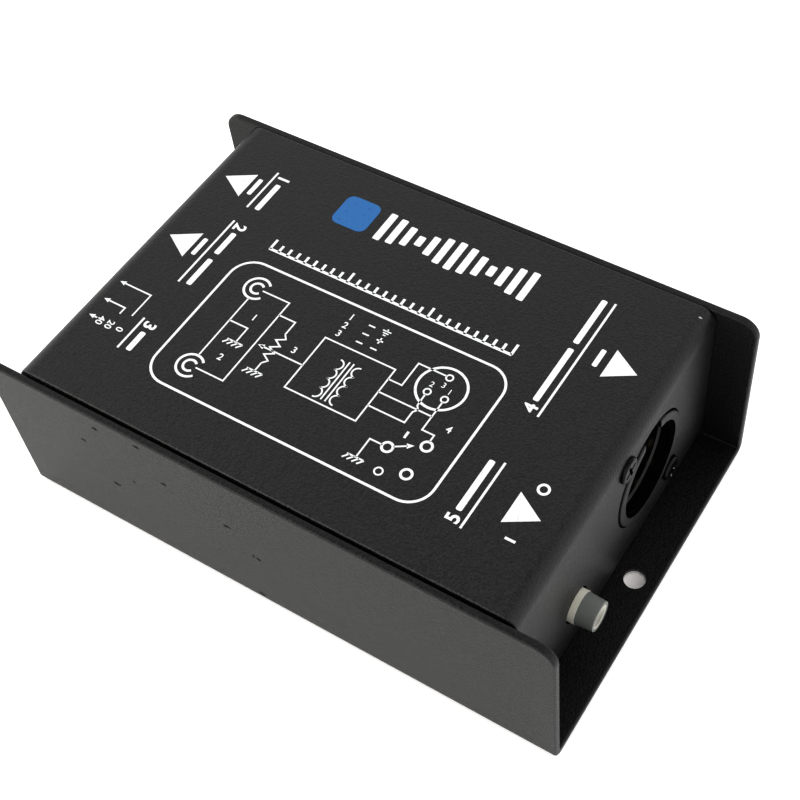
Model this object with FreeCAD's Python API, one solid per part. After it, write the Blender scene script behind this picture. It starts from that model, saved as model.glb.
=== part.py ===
import FreeCAD, Part
import math
import os

# Direct injection box, in millimetres.
# +X runs along the case towards the XLR end, +Y across it, +Z up.
# The origin is the centre of the underside.

# Outer shell: base and two side plates folded from one sheet
CASE_L = 120.8
CASE_W = 76.5
PLATE_TOP = 39.5
SHELL_T = 1.6
SHELL_BEND_R = 2.0
PLATE_CORNER_R = 3.8
COAT_R = 0.45
MOULD_R = 0.35
MOUNT_HOLE_X = 56.0
MOUNT_HOLE_R = 2.15

# Lid: top panel and two end walls folded from one sheet
LID_L = 105.7
LID_X = -0.5
LID_W = 72.8
LID_Y = 0.2
LID_TOP = 39.8
LID_T = 1.5
LID_BEND_R = 3.2
FLANGE_BEND_R = 2.4
LID_FLANGE = 9.0
LID_CORNER_RELIEF = 1.6
OUT_END = LID_X + LID_L / 2
OUT_END_IN = OUT_END - LID_T
IN_END = LID_X - LID_L / 2
IN_END_IN = IN_END + LID_T

# Fits, and how far a cutting solid runs past the face that it opens
FIT = 0.05
GAP = 0.1
PAST = 1.0
SAME = 1e-3
M3_R = 1.5
M3_CLEAR_R = 1.6
M3_NUT_AF = 5.5
M3_NUT_H = 2.4
SCREW_END = 0.8
RECESS_SPAN = 1.25
RECESS_W = 0.7
RECESS_DEPTH = 0.6
RECESS_TURN = 20

# Case screws, countersunk from below into the lid's flanges
CASE_SCREW_X = 46.8
CASE_SCREW_Y = 25.0
CASE_SCREW_L = 6.0
CSK_HEAD_R = 2.75
CSK_HEAD_H = 1.25

# Circuit board on standoffs
BOARD_TOP = 9.95
BOARD_T = 1.6
BOARD_X0 = -51.0
BOARD_X1 = 49.5
BOARD_HALF_W = 33.0
BOARD_NOTCH_X = 29.0
BOARD_NOTCH_Y = -4.0
BOARD_CORNER_R = 1.5
BOARD_SCREWS = [(-18.0, 29.5), (24.0, 29.5), (-36.0, -29.5), (37.0, -29.5)]
STANDOFF_AF = 5.5
BOARD_HEAD_R = 2.7
BOARD_HEAD_H = 1.9
BOARD_SCREW_L = 6.0
LEAD_HOLE_R = 0.55
LEAD_PROUD = 1.6
LEAD_END = BOARD_TOP - BOARD_T - LEAD_PROUD

# XLR socket in the +X wall
XLR_Y = 11.0
XLR_Z = 22.2
XLR_PANEL_HOLE_R = 12.0
XLR_RING_R = 11.7
XLR_PROUD = 0.4
XLR_MOUTH_R = 9.85
XLR_MOUTH_DEPTH = 2.8
XLR_CAVITY_R = 9.4
XLR_CAVITY_DEPTH = 16.5
XLR_FLANGE_W = 26.0
XLR_FLANGE_H = 28.4
XLR_FLANGE_T = 1.8
XLR_FLANGE_R = 2.5
XLR_BARREL_R = 11.5
XLR_NOTCH_W = 6.0
XLR_NOTCH_DEPTH = 5.2
XLR_INSERT_T = 5.0
XLR_SCREW_DY = 9.5
XLR_SCREW_DZ = 12.0
XLR_PIN_R = 1.2
XLR_PIN_SEAT_R = 1.6
XLR_PIN_L = 11.0
XLR_CUP_L = 5.2
XLR_CUP_BORE_R = 1.0
XLR_WIRE_LEAD = 2.0
WIRE_BEND_R = 4.0
XLR_PIN_PLACES = [(-3.81, 2.2), (3.81, 2.2), (0.0, -4.4)]
PAN_HEAD_R = 2.65
PAN_HEAD_H = 0.8

# Ground-lift push switch in the +X wall
BUTTON_Y = -16.3
BUTTON_Z = 14.2
BUTTON_HOLE_R = 3.8
BUTTON_TRAVEL = 3.0
COLLAR_R = 3.35
COLLAR_OUT = 1.15
COLLAR_L = 3.1
CAP_BASE_R = 3.25
CAP_END_R = 3.0
CAP_L = 3.65
CAP_EDGE_R = 0.2
CORE_R = 2.5
CORE_RECESS = 0.1
CORE_DISH_R = 2.3
CORE_DISH_DEPTH = 0.9
STEM_HALF = 1.8
SWITCH_HALF = 4.25
SWITCH_L = 14.0
SWITCH_WALL = 1.0
SWITCH_CLEARANCE = 0.4
SWITCH_X1 = OUT_END + COLLAR_OUT - COLLAR_L - BUTTON_TRAVEL - SWITCH_CLEARANCE
SWITCH_X0 = SWITCH_X1 - SWITCH_L
PISTON_HALF = 2.7
PISTON_L = 3.0
PISTON_X0 = SWITCH_X0 + 6.5
PISTON_X1 = PISTON_X0 + PISTON_L
SWITCH_PIN_DX = 3.5
SWITCH_PIN_DY = 2.5
SPRING_R = 2.0
SPRING_WIRE_R = 0.2
SPRING_TURNS = 6

# Quarter-inch jacks in the -X wall
JACK_Z = 20.5
INPUT_JACK_Y = 21.5
LINK_JACK_Y = 4.5
JACK_HALF_W = 8.0
JACK_TOP = 29.0
JACK_X1 = -25.4
JACK_BORE_R = 3.25
JACK_NOSE_R = 4.75
JACK_NOSE_X = -57.6
JACK_WALL = 1.7
JACK_CAVITY_HALF = 6.0
JACK_NUT_AF = 12.0
JACK_NUT_H = 2.4
JACK_WASHER_R = 6.6
JACK_WASHER_T = 0.6
CONTACT_T = 0.5
CONTACT_W = 3.0
TIP_SHELF = 5.0
TIP_DIP = 2.9
TIP_STEPS = (3.0, 6.5, 10.0)
SLEEVE_REST = 4.4
SLEEVE_STEPS = (3.0, 5.5, 8.0)

# Attenuator slide switch in the -X wall
ATT_Y = -17.5
ATT_Z = 20.5
ATT_TRAVEL = 4.0
ATT_KNOB_HALF_Y = 2.0
ATT_KNOB_HALF_Z = 1.8
ATT_KNOB_OUT = 4.0
ATT_SLOT_GAP = 0.4
ATT_FRAME_T = 0.8
ATT_FRAME_HALF_W = 13.5
ATT_FRAME_HALF_H = 4.25
ATT_BODY_HALF_W = 8.5
ATT_FRAME_DEPTH = 7.0
ATT_SIDE_T = 0.5
ATT_BASE_T = 1.2
ATT_CARRIAGE_HALF_W = 4.0
ATT_CARRIAGE_HALF_H = 3.2
ATT_CARRIAGE_T = 3.0
ATT_SCREW_DY = 11.0
ATT_SCREW_R = 1.25
ATT_HEAD_R = 2.6
ATT_HEAD_H = 1.9
ATT_TERMINAL_PITCH = 4.0
ATT_ROW_Z = 1.9
ATT_TERMINAL_L = 4.5
ATT_BLADE_HALF = (0.9, 0.3)
ATT_PAD_HALF = (1.2, 0.9)
ATT_PAD_T = 0.3
ATT_CLIP_HALF_W = 3.2
ATT_CLIP_T = 0.5
ATT_CLIP_HALF_H = 0.7
ATT_WIRE_LEAD = 1.0
ATT_WIRE_R = 0.6

# Matching transformer
TX_X = 5.0
TX_Y = -14.0
CORE_W = 24.0
CORE_H = 20.0
CORE_STACK = 9.0
CORE_LIFT = 1.45
CORE_Z0 = BOARD_TOP + CORE_LIFT
CORE_YOKE = 4.0
CORE_LEG = 6.0
BOBBIN_T = 0.8
BOBBIN_REACH = 9.5
COIL_INSET = 0.5
COIL_CORNER_R = 2.0
TX_PIN_DX = (-5.0, 0.0, 5.0)
TX_PIN_DY = (-8.0, 8.0)
TX_PIN_RISE = 3.0
TX_PIN_TOP = BOARD_TOP + TX_PIN_RISE
STRAP_T = 0.6
STRAP_HALF_W = 3.5
STRAP_FOOT = 6.0

# Resistors
RESISTOR_X = -6.0
RESISTOR_YS = [8.0, 13.0, 18.0, 23.0]
RESISTOR_R = 1.2
RESISTOR_L = 6.5
RESISTOR_PITCH = 12.5
RESISTOR_LIFT = 0.3
RESISTOR_ROUND = 0.5
LEAD_R = 0.3

V = FreeCAD.Vector


def save(name, shape):
    shape.exportStep("parts/" + name + ".step")


def box(x0, x1, y0, y1, z0, z1):
    return Part.makeBox(x1 - x0, y1 - y0, z1 - z0, V(x0, y0, z0))


def rod_x(x0, x1, y, z, r):
    return Part.makeCylinder(r, x1 - x0, V(x0, y, z), V(1, 0, 0))


def rod_z(x, y, z0, z1, r):
    return Part.makeCylinder(r, z1 - z0, V(x, y, z0), V(0, 0, 1))


def hexagon(across_flats):
    corner = across_flats / math.sqrt(3)
    angles = [math.radians(60 * i) for i in range(7)]
    return Part.Face(Part.makePolygon([V(corner * math.cos(a), corner * math.sin(a), 0) for a in angles]))


def hex_z(x, y, z0, z1, across_flats):
    prism = hexagon(across_flats).extrude(V(0, 0, z1 - z0))
    prism.translate(V(x, y, z0))
    return prism


def hex_x(x0, x1, y, z, across_flats):
    prism = hexagon(across_flats).extrude(V(0, 0, x1 - x0))
    prism.rotate(V(0, 0, 0), V(0, 1, 0), 90)
    prism.translate(V(x0, y, z))
    return prism


def edges_where(shape, test):
    return [e for e in shape.Edges if test(e)]


def along(edge, axis):
    box_of = edge.BoundBox
    spans = {"x": box_of.XLength, "y": box_of.YLength, "z": box_of.ZLength}
    others = [spans[k] for k in spans if k != axis]
    return spans[axis] > SAME and max(others) < SAME


def strip(points, thickness, y0, y1):
    """A bent strip: a line of (x, z) points thickened to one side and extruded from y0 to y1."""
    far = []
    for i, (x, z) in enumerate(points):
        before = points[max(i - 1, 0)]
        after = points[min(i + 1, len(points) - 1)]
        first = direction(before, (x, z)) or direction((x, z), after)
        second = direction((x, z), after) or first
        mid = (first[0] + second[0], first[1] + second[1])
        scale = thickness * 2 / (mid[0] ** 2 + mid[1] ** 2)
        far.append((x - mid[1] * scale, z + mid[0] * scale))
    ring = points + far[::-1] + points[:1]
    face = Part.Face(Part.makePolygon([V(x, y0, z) for x, z in ring]))
    return face.extrude(V(0, y1 - y0, 0))


def direction(a, b):
    length = math.hypot(b[0] - a[0], b[1] - a[1])
    if length < 1e-9:
        return None
    return ((b[0] - a[0]) / length, (b[1] - a[1]) / length)


def cross_recess(x_face, inward, y, z, span, depth):
    """A cross-shaped driver recess, cut from a head whose face is at x_face."""
    x0, x1 = sorted((x_face, x_face + inward * depth))
    arm = box(x0, x1, -span / 2, span / 2, -RECESS_W / 2, RECESS_W / 2)
    other = arm.copy()
    other.rotate(V(0, 0, 0), V(1, 0, 0), 90)
    cross = arm.fuse(other)
    cross.rotate(V(0, 0, 0), V(1, 0, 0), RECESS_TURN)
    cross.translate(V(0, y, z))
    return cross


def pan_screw_x(x_wall, outward, y, z, head_r, head_h, shank_r, shank_l):
    """A pan-head screw whose head sits on a wall face at x_wall and points along outward."""
    head = Part.makeCylinder(head_r, head_h, V(x_wall, y, z), V(outward, 0, 0))
    face_x = x_wall + outward * head_h
    rim = edges_where(head, lambda e: abs(e.BoundBox.Center.x - face_x) < SAME and not along(e, "x"))
    head = head.makeFillet(head_h * RECESS_DEPTH, rim)
    shank = Part.makeCylinder(shank_r, shank_l, V(x_wall, y, z), V(-outward, 0, 0))
    screw = head.fuse(shank)
    recess = cross_recess(face_x, -outward, y, z, head_r * RECESS_SPAN, head_h * RECESS_DEPTH)
    return screw.cut(recess).removeSplitter()


def outer_shell():
    outside = box(-CASE_L / 2, CASE_L / 2, -CASE_W / 2, CASE_W / 2, 0, PLATE_TOP)
    folds = edges_where(outside, lambda e: along(e, "x") and e.BoundBox.ZMax < SHELL_T)
    outside = outside.makeFillet(SHELL_BEND_R, folds)
    half = CASE_W / 2 - SHELL_T
    inside = box(-CASE_L, CASE_L, -half, half, SHELL_T, PLATE_TOP * 2)
    folds = edges_where(inside, lambda e: along(e, "x") and e.BoundBox.ZMax < SHELL_T * 2)
    shell = outside.cut(inside.makeFillet(SHELL_BEND_R - SHELL_T, folds))
    corners = edges_where(shell, lambda e: along(e, "y") and e.BoundBox.ZMin > PLATE_TOP - PAST)
    shell = shell.makeFillet(PLATE_CORNER_R, corners)
    shell = shell.makeFillet(COAT_R, edges_where(shell, on_shell_outline))
    for side in (-1, 1):
        shell = shell.cut(rod_z(side * MOUNT_HOLE_X, 0, -PAST, SHELL_T + PAST, MOUNT_HOLE_R))
        for y in (-CASE_SCREW_Y, CASE_SCREW_Y):
            shell = shell.cut(case_screw_void(side * CASE_SCREW_X, y))
    return shell


def on_shell_outline(edge):
    b = edge.BoundBox
    at_end = b.XLength < SAME and abs(abs(b.XMin) - CASE_L / 2) < SAME
    at_top = b.ZLength < SAME and abs(b.ZMin - PLATE_TOP) < SAME
    corner = abs(b.XLength - PLATE_CORNER_R) < SAME and abs(b.ZLength - PLATE_CORNER_R) < SAME
    return (at_end or at_top or corner) and not along(edge, "y") or (at_end and b.ZMax < SHELL_T + SAME)


def case_screw_void(x, y):
    sink = Part.makeCone(CSK_HEAD_R, M3_CLEAR_R, CSK_HEAD_H, V(x, y, 0))
    return sink.fuse(rod_z(x, y, 0, SHELL_T * 2, M3_CLEAR_R))


def case_screws():
    screws = []
    for x in (-CASE_SCREW_X, CASE_SCREW_X):
        for y in (-CASE_SCREW_Y, CASE_SCREW_Y):
            head = Part.makeCone(CSK_HEAD_R, M3_CLEAR_R, CSK_HEAD_H, V(x, y, 0))
            shank = rod_z(x, y, 0, CASE_SCREW_L, M3_R - FIT)
            recess = cross_recess(0, 1, 0, 0, CSK_HEAD_R * RECESS_SPAN, SCREW_END)
            recess.rotate(V(0, 0, 0), V(0, 1, 0), -90)
            recess.translate(V(x, y, 0))
            screws.append(head.fuse(shank).cut(recess))
    return Part.makeCompound(screws)


def lid_panel():
    y0 = LID_Y - LID_W / 2
    y1 = LID_Y + LID_W / 2
    outside = box(IN_END, OUT_END, y0, y1, SHELL_T, LID_TOP)
    outside = fold_lid(outside, LID_BEND_R, FLANGE_BEND_R)
    inside = box(IN_END_IN, OUT_END_IN, y0 - PAST, y1 + PAST, SHELL_T + LID_T, LID_TOP - LID_T)
    inside = fold_lid(inside, LID_BEND_R - LID_T, FLANGE_BEND_R - LID_T)
    opening = box(IN_END + LID_FLANGE, OUT_END - LID_FLANGE, y0 - PAST, y1 + PAST, 0, SHELL_T + LID_T * 2)
    lid = outside.cut(inside).cut(opening)
    lid = lid.makeFillet(COAT_R, edges_where(lid, on_lid_outline))
    for y in (y0, y1):
        relief = box(IN_END - PAST, OUT_END + PAST, y - LID_CORNER_RELIEF, y + LID_CORNER_RELIEF,
                     0, SHELL_T + FLANGE_BEND_R)
        lid = lid.cut(relief)
    for x in (-CASE_SCREW_X, CASE_SCREW_X):
        for y in (-CASE_SCREW_Y, CASE_SCREW_Y):
            lid = lid.cut(rod_z(x, y, SHELL_T - PAST, SHELL_T + LID_T + PAST, M3_R))
    for hole in xlr_wall_openings() + jack_wall_openings() + attenuator_wall_openings():
        lid = lid.cut(hole)
    return lid.cut(rod_x(OUT_END_IN - PAST, OUT_END + PAST, BUTTON_Y, BUTTON_Z, BUTTON_HOLE_R))


def fold_lid(block, top_r, bottom_r):
    """Rounds a block's long folds, with one radius at the top panel and one at the flanges."""
    middle = LID_TOP / 2
    top = edges_where(block, lambda e: along(e, "y") and e.BoundBox.ZMin > middle)
    folded = block.makeFillet(top_r, top)
    bottom = edges_where(folded, lambda e: along(e, "y") and e.BoundBox.ZMax < middle)
    return folded.makeFillet(bottom_r, bottom)


def on_lid_outline(edge):
    b = edge.BoundBox
    at_side = abs(abs(b.YMin - LID_Y) - LID_W / 2) < SAME
    outer = b.ZMax > LID_TOP - SAME or b.XMin < IN_END + SAME or b.XMax > OUT_END - SAME
    return at_side and b.YLength < SAME and outer and b.ZMax > SHELL_T + FLANGE_BEND_R + SAME


def xlr_wall_openings():
    holes = [rod_x(OUT_END_IN - PAST, OUT_END + PAST, XLR_Y, XLR_Z, XLR_PANEL_HOLE_R)]
    for y, z in xlr_screw_places():
        holes.append(rod_x(OUT_END_IN - PAST, OUT_END + PAST, y, z, M3_CLEAR_R))
    return holes


def xlr_screw_places():
    return [(XLR_Y - XLR_SCREW_DY, XLR_Z + XLR_SCREW_DZ), (XLR_Y + XLR_SCREW_DY, XLR_Z - XLR_SCREW_DZ)]


def xlr_face_x():
    return OUT_END + XLR_PROUD


def xlr_floor_x():
    return xlr_face_x() - XLR_CAVITY_DEPTH


def xlr_housing():
    face_x = xlr_face_x()
    flange_x = OUT_END_IN - XLR_FLANGE_T
    back_x = xlr_floor_x() - XLR_INSERT_T
    half_w = XLR_FLANGE_W / 2
    half_h = XLR_FLANGE_H / 2
    flange = box(flange_x, OUT_END_IN, XLR_Y - half_w, XLR_Y + half_w, XLR_Z - half_h, XLR_Z + half_h)
    flange = flange.makeFillet(XLR_FLANGE_R, edges_where(flange, lambda e: along(e, "x")))
    ring = rod_x(flange_x, face_x, XLR_Y, XLR_Z, XLR_RING_R)
    rim = edges_where(ring, lambda e: e.BoundBox.XMin > face_x - SAME)
    housing = ring.makeFillet(MOULD_R, rim).fuse(flange)
    housing = housing.fuse(rod_x(back_x, flange_x, XLR_Y, XLR_Z, XLR_BARREL_R))
    ledge_x = face_x - XLR_MOUTH_DEPTH
    housing = housing.cut(rod_x(ledge_x, face_x + PAST, XLR_Y, XLR_Z, XLR_MOUTH_R))
    step = XLR_MOUTH_R - XLR_CAVITY_R
    ledge = Part.makeCone(XLR_CAVITY_R, XLR_MOUTH_R, step, V(ledge_x - step, XLR_Y, XLR_Z), V(1, 0, 0))
    housing = housing.cut(ledge)
    housing = housing.cut(rod_x(back_x - PAST, face_x, XLR_Y, XLR_Z, XLR_CAVITY_R))
    half = XLR_NOTCH_W / 2
    notch_top = XLR_Z + XLR_RING_R + PAST
    notch = box(face_x - XLR_NOTCH_DEPTH, face_x + PAST, XLR_Y - half, XLR_Y + half, XLR_Z, notch_top)
    housing = housing.cut(notch.common(rod_x(flange_x, face_x + PAST, XLR_Y, XLR_Z, XLR_RING_R + FIT)))
    for y, z in xlr_screw_places():
        housing = housing.cut(rod_x(flange_x - PAST, OUT_END_IN + PAST, y, z, M3_CLEAR_R))
    return housing.removeSplitter()


def xlr_insert():
    floor_x = xlr_floor_x()
    insert = rod_x(floor_x - XLR_INSERT_T, floor_x, XLR_Y, XLR_Z, XLR_CAVITY_R - FIT)
    for dy, dz in XLR_PIN_PLACES:
        seat = rod_x(floor_x - XLR_INSERT_T - PAST, floor_x + PAST, XLR_Y + dy, XLR_Z + dz, XLR_PIN_SEAT_R)
        insert = insert.cut(seat)
    return insert


def xlr_pin(dy, dz):
    floor_x = xlr_floor_x()
    y = XLR_Y + dy
    z = XLR_Z + dz
    pin = rod_x(floor_x, floor_x + XLR_PIN_L, y, z, XLR_PIN_R)
    tip = edges_where(pin, lambda e: e.BoundBox.XMin > floor_x + XLR_PIN_L - SAME)
    pin = pin.makeFillet(XLR_PIN_R - RECESS_W / 2, tip)
    cup_x = floor_x - XLR_INSERT_T - XLR_CUP_L
    pin = pin.fuse(rod_x(cup_x, floor_x, y, z, XLR_PIN_SEAT_R - FIT))
    return pin.cut(rod_x(cup_x - PAST, cup_x + XLR_CUP_L / 2, y, z, XLR_CUP_BORE_R))


def xlr_wire(dy, dz):
    cup_x = xlr_floor_x() - XLR_INSERT_T - XLR_CUP_L
    return drop_wire(cup_x, -1, XLR_Y + dy, XLR_Z + dz, XLR_WIRE_LEAD, XLR_CUP_BORE_R - FIT)


def drop_wire(x, way, y, z, lead, r):
    """A wire that leaves along way * X, turns down in one arc and ends on the board."""
    bend = min(WIRE_BEND_R, (z - BOARD_TOP) / 2)
    corner_x = x + way * lead
    down_x = corner_x + way * bend
    slant = bend * math.sin(math.radians(45))
    middle = V(corner_x + way * slant, y, z - bend + slant)
    path = Part.Wire([
        Part.LineSegment(V(x, y, z), V(corner_x, y, z)).toShape(),
        Part.Arc(V(corner_x, y, z), middle, V(down_x, y, z - bend)).toShape(),
        Part.LineSegment(V(down_x, y, z - bend), V(down_x, y, BOARD_TOP)).toShape(),
    ])
    section = Part.Wire([Part.makeCircle(r, V(x, y, z), V(way, 0, 0))])
    return path.makePipeShell([section], True, False)


def xlr_screws():
    length = LID_T + XLR_FLANGE_T + M3_NUT_H + SCREW_END
    screws = [
        pan_screw_x(OUT_END, 1, y, z, PAN_HEAD_R, PAN_HEAD_H, M3_R, length)
        for y, z in xlr_screw_places()
    ]
    return Part.makeCompound(screws)


def xlr_nuts():
    back_x = OUT_END_IN - XLR_FLANGE_T
    nuts = []
    for y, z in xlr_screw_places():
        nut = hex_x(back_x - M3_NUT_H, back_x, y, z, M3_NUT_AF)
        nuts.append(nut.cut(rod_x(back_x - M3_NUT_H - PAST, back_x + PAST, y, z, M3_R + FIT)))
    return Part.makeCompound(nuts)


def square_x(x0, x1, half):
    return box(x0, x1, BUTTON_Y - half, BUTTON_Y + half, BUTTON_Z - half, BUTTON_Z + half)


def ground_switch_body():
    body = square_x(SWITCH_X0, SWITCH_X1, SWITCH_HALF)
    body = body.cut(square_x(SWITCH_X0 + SWITCH_WALL, SWITCH_X1 - SWITCH_WALL, SWITCH_HALF - SWITCH_WALL))
    return body.cut(square_x(SWITCH_X1 - SWITCH_WALL - PAST, SWITCH_X1 + PAST, STEM_HALF + SWITCH_WALL / 4))


def ground_switch_plunger():
    collar_x1 = OUT_END + COLLAR_OUT
    collar = rod_x(collar_x1 - COLLAR_L, collar_x1, BUTTON_Y, BUTTON_Z, COLLAR_R)
    plunger = collar.fuse(square_x(PISTON_X1, collar_x1 - COLLAR_L, STEM_HALF))
    plunger = plunger.fuse(square_x(PISTON_X0, PISTON_X1, PISTON_HALF))
    core_x1 = collar_x1 + CAP_L - CORE_RECESS
    plunger = plunger.fuse(rod_x(collar_x1, core_x1, BUTTON_Y, BUTTON_Z, CORE_R))
    ball_r = (CORE_DISH_R ** 2 + CORE_DISH_DEPTH ** 2) / (2 * CORE_DISH_DEPTH)
    return plunger.cut(Part.makeSphere(ball_r, V(core_x1 + ball_r - CORE_DISH_DEPTH, BUTTON_Y, BUTTON_Z)))


def ground_button_cap():
    """A tapered sleeve round the plunger's core, open at its end."""
    cap_x0 = OUT_END + COLLAR_OUT
    cap_x1 = cap_x0 + CAP_L
    cap = Part.makeCone(CAP_BASE_R, CAP_END_R, CAP_L, V(cap_x0, BUTTON_Y, BUTTON_Z), V(1, 0, 0))
    cap = cap.makeFillet(CAP_EDGE_R, edges_where(cap, lambda e: e.BoundBox.XMin > cap_x1 - SAME))
    return cap.cut(rod_x(cap_x0 - PAST, cap_x1 + PAST, BUTTON_Y, BUTTON_Z, CORE_R + FIT))


def ground_switch_spring():
    start_x = SWITCH_X0 + SWITCH_WALL + SPRING_WIRE_R + FIT
    length = PISTON_X0 - SPRING_WIRE_R - FIT - start_x
    path = Part.makeHelix(length / SPRING_TURNS, length, SPRING_R)
    section = Part.Wire([Part.makeCircle(SPRING_WIRE_R, V(SPRING_R, 0, 0), V(0, 1, 0))])
    spring = path.makePipeShell([section], True, True)
    spring.rotate(V(0, 0, 0), V(0, 1, 0), 90)
    spring.translate(V(start_x, BUTTON_Y, BUTTON_Z))
    return spring


def pin_row(xs, ys, z0, z1, half):
    pins = [box(x - half, x + half, y - half, y + half, z0, z1) for x in xs for y in ys]
    return Part.makeCompound(pins)


def switch_terminal_grid():
    middle = (SWITCH_X0 + SWITCH_X1) / 2
    xs = [middle - SWITCH_PIN_DX, middle, middle + SWITCH_PIN_DX]
    return xs, [BUTTON_Y - SWITCH_PIN_DY, BUTTON_Y + SWITCH_PIN_DY]


def ground_switch_terminals():
    xs, ys = switch_terminal_grid()
    return pin_row(xs, ys, LEAD_END, BOARD_TOP, LEAD_R)


def jack_wall_openings():
    r = JACK_NOSE_R + 2 * FIT
    return [rod_x(IN_END - PAST, IN_END_IN + PAST, y, JACK_Z, r) for y in (INPUT_JACK_Y, LINK_JACK_Y)]


def jack_body(y):
    front = IN_END_IN
    body = box(front, JACK_X1, y - JACK_HALF_W, y + JACK_HALF_W, BOARD_TOP, JACK_TOP)
    shoulders = edges_where(body, lambda e: along(e, "x") and e.BoundBox.ZMin > JACK_Z)
    body = body.makeFillet(BOARD_CORNER_R, shoulders)
    nose = rod_x(JACK_NOSE_X, front, y, JACK_Z, JACK_NOSE_R)
    rim = edges_where(nose, lambda e: e.BoundBox.XMax < JACK_NOSE_X + SAME)
    body = body.fuse(nose.makeChamfer(MOULD_R, rim))
    half = JACK_CAVITY_HALF
    body = body.cut(box(front + JACK_WALL, JACK_X1 - JACK_WALL + CONTACT_T, y - half, y + half,
                        JACK_Z - half, JACK_Z + half))
    body = body.cut(rod_x(JACK_NOSE_X - PAST, front + JACK_WALL + PAST, y, JACK_Z, JACK_BORE_R))
    for leg_x in (tip_leg_x(), sleeve_leg_x()):
        body = body.cut(contact_slot(leg_x, y, BOARD_TOP - PAST, JACK_Z))
    return body


def contact_slot(leg_x, y, z0, z1):
    half = CONTACT_W / 2 + GAP
    return box(leg_x - CONTACT_T - GAP, leg_x + GAP, y - half, y + half, z0, z1)


def tip_leg_x():
    return JACK_X1 - JACK_WALL - CONTACT_T / 2


def sleeve_leg_x():
    return IN_END_IN + JACK_WALL + CONTACT_W


def jack_tip_contact(y):
    leg = tip_leg_x()
    shelf = JACK_Z + TIP_SHELF
    bend, touch, end = (leg - step for step in TIP_STEPS)
    dip = JACK_Z + TIP_DIP
    leaf = [(leg, LEAD_END), (leg, shelf), (bend, shelf), (touch, dip), (end, shelf - CONTACT_T)]
    return strip(leaf, CONTACT_T, y - CONTACT_W / 2, y + CONTACT_W / 2)


def jack_sleeve_contact(y):
    leg = sleeve_leg_x()
    rest = JACK_Z - SLEEVE_REST
    touch = JACK_Z - JACK_BORE_R - CONTACT_T - FIT
    rise, flat, end = (leg + step for step in SLEEVE_STEPS)
    leaf = [(leg, LEAD_END), (leg, rest), (rise, touch), (flat, touch), (end, rest)]
    return strip(leaf, CONTACT_T, y - CONTACT_W / 2, y + CONTACT_W / 2)


def jack_washer(y):
    x0 = IN_END - JACK_WASHER_T
    washer = rod_x(x0, IN_END, y, JACK_Z, JACK_WASHER_R)
    return washer.cut(rod_x(x0 - PAST, IN_END + PAST, y, JACK_Z, JACK_NOSE_R + 2 * FIT))


def jack_nut(y):
    x1 = IN_END - JACK_WASHER_T
    x0 = x1 - JACK_NUT_H
    nut = hex_x(x0, x1, y, JACK_Z, JACK_NUT_AF)
    crown_r = JACK_NUT_AF / math.sqrt(3)
    crown = rod_x(x0, x1, y, JACK_Z, crown_r)
    rim = edges_where(crown, lambda e: e.BoundBox.XMax < x0 + SAME)
    nut = nut.common(crown.makeChamfer(crown_r - JACK_NUT_AF / 2, rim))
    return nut.cut(rod_x(x0 - PAST, x1 + PAST, y, JACK_Z, JACK_NOSE_R + FIT))


def att_box(x0, x1, half_y, half_z, y=ATT_Y, z=ATT_Z):
    return box(x0, x1, y - half_y, y + half_y, z - half_z, z + half_z)


def att_slot(x0, x1):
    half_y = ATT_KNOB_HALF_Y + ATT_TRAVEL + ATT_SLOT_GAP
    return att_box(x0, x1, half_y, ATT_KNOB_HALF_Z + ATT_SLOT_GAP)


def att_screw_ys():
    return (ATT_Y - ATT_SCREW_DY, ATT_Y + ATT_SCREW_DY)


def attenuator_wall_openings():
    holes = [att_slot(IN_END - PAST, IN_END_IN + PAST)]
    for y in att_screw_ys():
        holes.append(rod_x(IN_END - PAST, IN_END_IN + PAST, y, ATT_Z, ATT_SCREW_R + 2 * FIT))
    return holes


def attenuator_frame():
    front = IN_END_IN
    back = front + ATT_FRAME_DEPTH
    frame = att_box(front, front + ATT_FRAME_T, ATT_FRAME_HALF_W, ATT_FRAME_HALF_H)
    frame = frame.makeFillet(BOARD_CORNER_R, edges_where(frame, lambda e: along(e, "x")))
    for side in (-1, 1):
        z = ATT_Z + side * (ATT_FRAME_HALF_H - ATT_SIDE_T / 2)
        frame = frame.fuse(att_box(front, back, ATT_BODY_HALF_W, ATT_SIDE_T / 2, z=z))
    frame = frame.cut(att_slot(front - PAST, front + ATT_FRAME_T + PAST))
    for y in att_screw_ys():
        frame = frame.cut(rod_x(front - PAST, back, y, ATT_Z, ATT_SCREW_R + FIT))
    return frame.removeSplitter()


def att_base_x():
    return IN_END_IN + ATT_FRAME_DEPTH - ATT_BASE_T


def att_terminal_places():
    ys = [ATT_Y + (i - 1.5) * ATT_TERMINAL_PITCH for i in range(4)]
    return [(y, ATT_Z + row * ATT_ROW_Z) for y in ys for row in (-1, 1)]


def attenuator_base():
    x0 = att_base_x()
    base = att_box(x0, x0 + ATT_BASE_T, ATT_BODY_HALF_W, ATT_FRAME_HALF_H - ATT_SIDE_T)
    for y, z in att_terminal_places():
        base = base.cut(att_box(x0 - PAST, x0 + ATT_BASE_T + PAST, *ATT_BLADE_HALF, y=y, z=z))
    return base


def attenuator_terminals():
    x0 = att_base_x()
    x1 = x0 + ATT_BASE_T + ATT_TERMINAL_L
    blades = []
    for y, z in att_terminal_places():
        pad = att_box(x0 - ATT_PAD_T, x0, *ATT_PAD_HALF, y=y, z=z)
        blades.append(pad.fuse(att_box(x0, x1, *ATT_BLADE_HALF, y=y, z=z)))
    return Part.makeCompound(blades)


def att_carriage_x():
    return IN_END_IN + ATT_FRAME_T + GAP


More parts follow.
